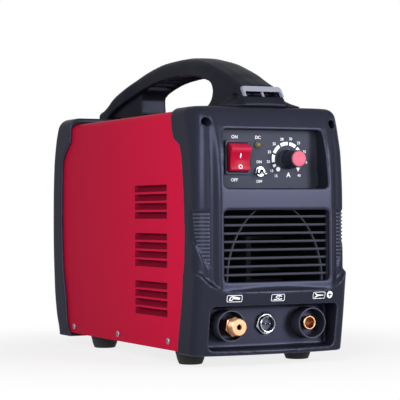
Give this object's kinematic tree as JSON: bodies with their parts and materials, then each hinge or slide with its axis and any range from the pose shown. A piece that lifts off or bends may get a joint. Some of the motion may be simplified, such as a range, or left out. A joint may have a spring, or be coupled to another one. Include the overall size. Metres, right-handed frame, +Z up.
{
  "type": "plasma cutter power unit",
  "caption": "Portable inverter plasma cutter: red sheet cover between black moulded end panels, arched carrying handle, recessed controls, front grille and a row of brass connectors.",
  "frame": {"origin": "middle of the whole box on the ground: halfway between the nose of the front moulding and the end of the cable gland, between the sides, at the bottoms of the feet", "axes": "+Z up; the front with the controls and connectors faces -Y; +X to the right when seen from the front with -Y towards the viewer"},
  "size_m": [0.155, 0.3829, 0.2911],
  "materials": {
    "black_abs": "moulded black ABS, fine even grain, slightly satin",
    "plate_black": "screen-printed polycarbonate overlay on a flat plate, satin",
    "red_steel": "powder-coated sheet steel, deep red, satin",
    "base_steel": "zinc-plated sheet steel",
    "grey_abs": "moulded light grey ABS",
    "rubber": "black rubber",
    "red_switch": "glossy translucent red polycarbonate",
    "salmon_cap": "moulded pinkish red ABS",
    "brass": "turned brass, bright",
    "chrome": "nickel-plated brass",
    "steel": "zinc-plated steel",
    "aluminium": "extruded aluminium",
    "circuit_board": "glass-epoxy board with green solder mask",
    "lens": "diffused amber epoxy",
    "copper": "enamelled copper winding",
    "ferrite": "sintered ferrite, dull",
    "sleeve": "shrink sleeve on aluminium cans",
    "hose_blue": "blue polyurethane hose"
  },
  "bodies": {
    "housing": {"front_panel": "black_abs", "front_grille": "black_abs", "rear_panel": "black_abs", "cover_shell": "red_steel", "base_plate": "base_steel", "front_left_foot": "rubber", "front_right_foot": "rubber", "rear_left_foot": "rubber", "rear_right_foot": "rubber", "handle": "black_abs", "handle_trim": "grey_abs", "control_plate": "plate_black", "rocker_frame": "black_abs", "led_holder": "black_abs", "led_lens": "lens", "toggle_body": "chrome", "toggle_nut": "chrome", "pot_body": "steel", "pot_nut": "chrome", "control_board": "circuit_board", "torch_collar": "black_abs", "torch_fitting": "brass", "torch_nut": "brass", "aviation_shell": "chrome", "aviation_nut": "chrome", "aviation_insert": "black_abs", "aviation_left_pin": "brass", "aviation_right_pin": "brass", "ground_collar": "black_abs", "ground_socket": "brass", "ground_nut": "brass", "fan_frame": "black_abs", "fan_guard": "steel", "cable_gland": "black_abs", "gland_nut": "black_abs", "gas_inlet": "brass", "earth_stud": "steel", "earth_nut": "steel", "power_board": "circuit_board", "right_heat_sink": "aluminium", "left_heat_sink": "aluminium", "transformer_core": "ferrite", "transformer_coil": "copper", "left_capacitor": "sleeve", "middle_capacitor": "sleeve", "right_capacitor": "sleeve", "output_choke": "copper", "gas_valve": "brass", "valve_coil": "sleeve", "gas_hose": "hose_blue"},
    "power_rocker": {"rocker_button": "red_switch"},
    "gas_toggle": {"toggle_lever": "chrome"},
    "current_dial": {"current_knob": "black_abs", "knob_cap": "salmon_cap", "knob_shaft": "steel"},
    "fan": {"fan_rotor": "black_abs"}
  },
  "joints": [
    {"name": "rocker_hinge", "type": "hinge", "parent": "housing", "child": "power_rocker", "pos_m": [-0.0307, -0.167, 0.1882], "axis": [-1, 0, 0], "range_deg": [0, 20]},
    {"name": "toggle_hinge", "type": "hinge", "parent": "housing", "child": "gas_toggle", "pos_m": [-0.0081, -0.168, 0.1757], "axis": [-1, 0, 0], "range_deg": [0, 24]},
    {"name": "dial_hinge", "type": "hinge", "parent": "housing", "child": "current_dial", "pos_m": [0.021, -0.175, 0.187], "axis": [0, -1, 0], "range_deg": [-135, 135]},
    {"name": "fan_spin", "type": "hinge", "parent": "housing", "child": "fan", "pos_m": [0, 0.157, 0.148], "axis": [0, 1, 0], "continuous": true}
  ]
}
